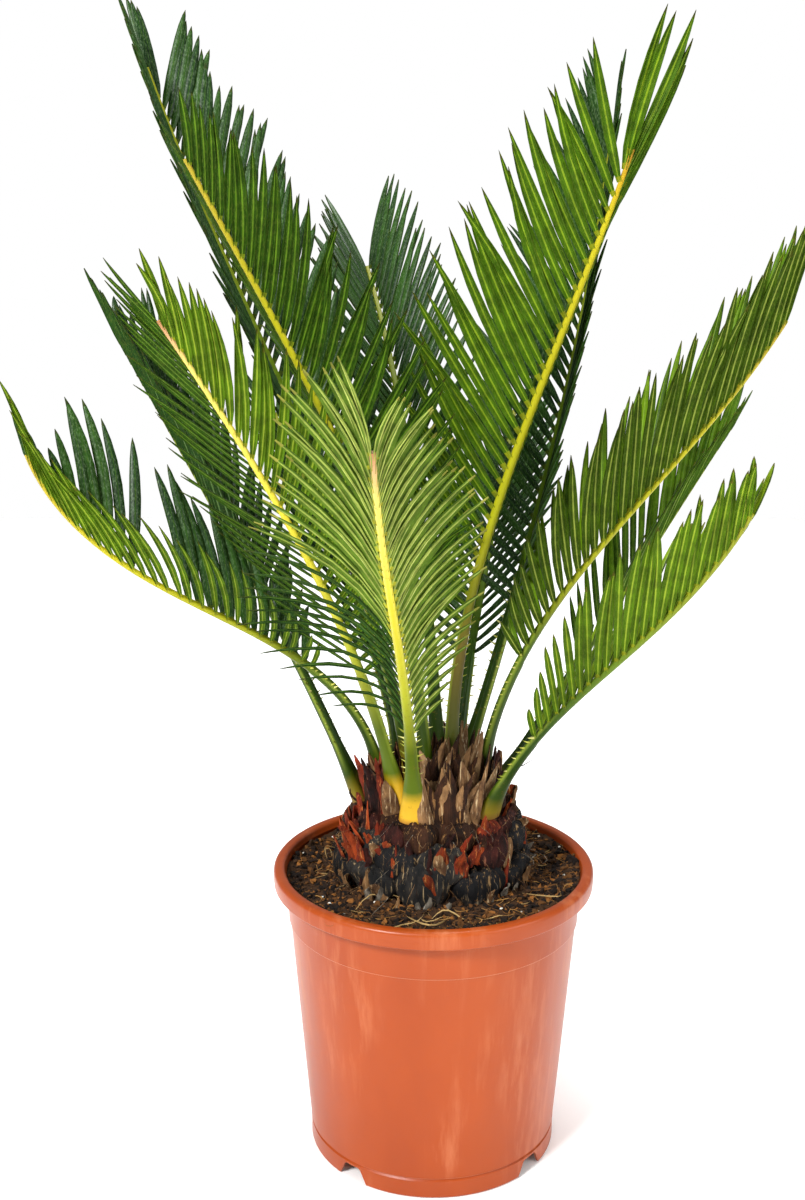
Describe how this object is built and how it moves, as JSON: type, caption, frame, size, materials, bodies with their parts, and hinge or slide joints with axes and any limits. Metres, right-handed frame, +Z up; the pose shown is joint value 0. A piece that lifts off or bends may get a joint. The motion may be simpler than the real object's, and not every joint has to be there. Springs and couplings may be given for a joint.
{
  "type": "sago palm in a plastic nursery pot",
  "caption": "Young sago palm: a squat scaly trunk with a rosette of stiff feather fronds, in a round terracotta-coloured plastic pot.",
  "frame": {"origin": "middle of the pot's flat underside, on the floor that it stands on", "axes": "+Z up along the pot's axis, -Y towards the front of the plant, +X to the right seen from the front"},
  "size_m": [0.3694, 0.4323, 0.6106],
  "materials": {
    "pot_plastic": "moulded polypropylene, satin gloss, terracotta orange",
    "potting_soil": "loose dark brown peat with fibres and white grit",
    "trunk_bark": "charcoal and rust-coloured leaf scars with dry papery scales",
    "stalk_green": "smooth waxy green stalk and yellow rib",
    "leaflet_green": "stiff glossy dark green leaflets"
  },
  "bodies": {
    "root": {"pot": "pot_plastic", "soil": "potting_soil", "trunk": "trunk_bark", "back_left_tall_stalk": "stalk_green", "back_left_tall_blade": "leaflet_green", "left_tall_stalk": "stalk_green", "left_tall_blade": "leaflet_green", "front_left_stalk": "stalk_green", "front_left_blade": "leaflet_green", "left_stalk": "stalk_green", "left_blade": "leaflet_green", "left_low_stalk": "stalk_green", "left_low_blade": "leaflet_green", "front_stalk": "stalk_green", "front_blade": "leaflet_green", "back_tall_stalk": "stalk_green", "back_tall_blade": "leaflet_green", "right_tall_stalk": "stalk_green", "right_tall_blade": "leaflet_green", "back_right_tall_stalk": "stalk_green", "back_right_tall_blade": "leaflet_green", "right_stalk": "stalk_green", "right_blade": "leaflet_green", "back_right_stalk": "stalk_green", "back_right_blade": "leaflet_green", "front_right_stalk": "stalk_green", "front_right_blade": "leaflet_green", "back_low_stalk": "stalk_green", "back_low_blade": "leaflet_green", "back_left_low_stalk": "stalk_green", "back_left_low_blade": "leaflet_green"}
  },
  "joints": []
}
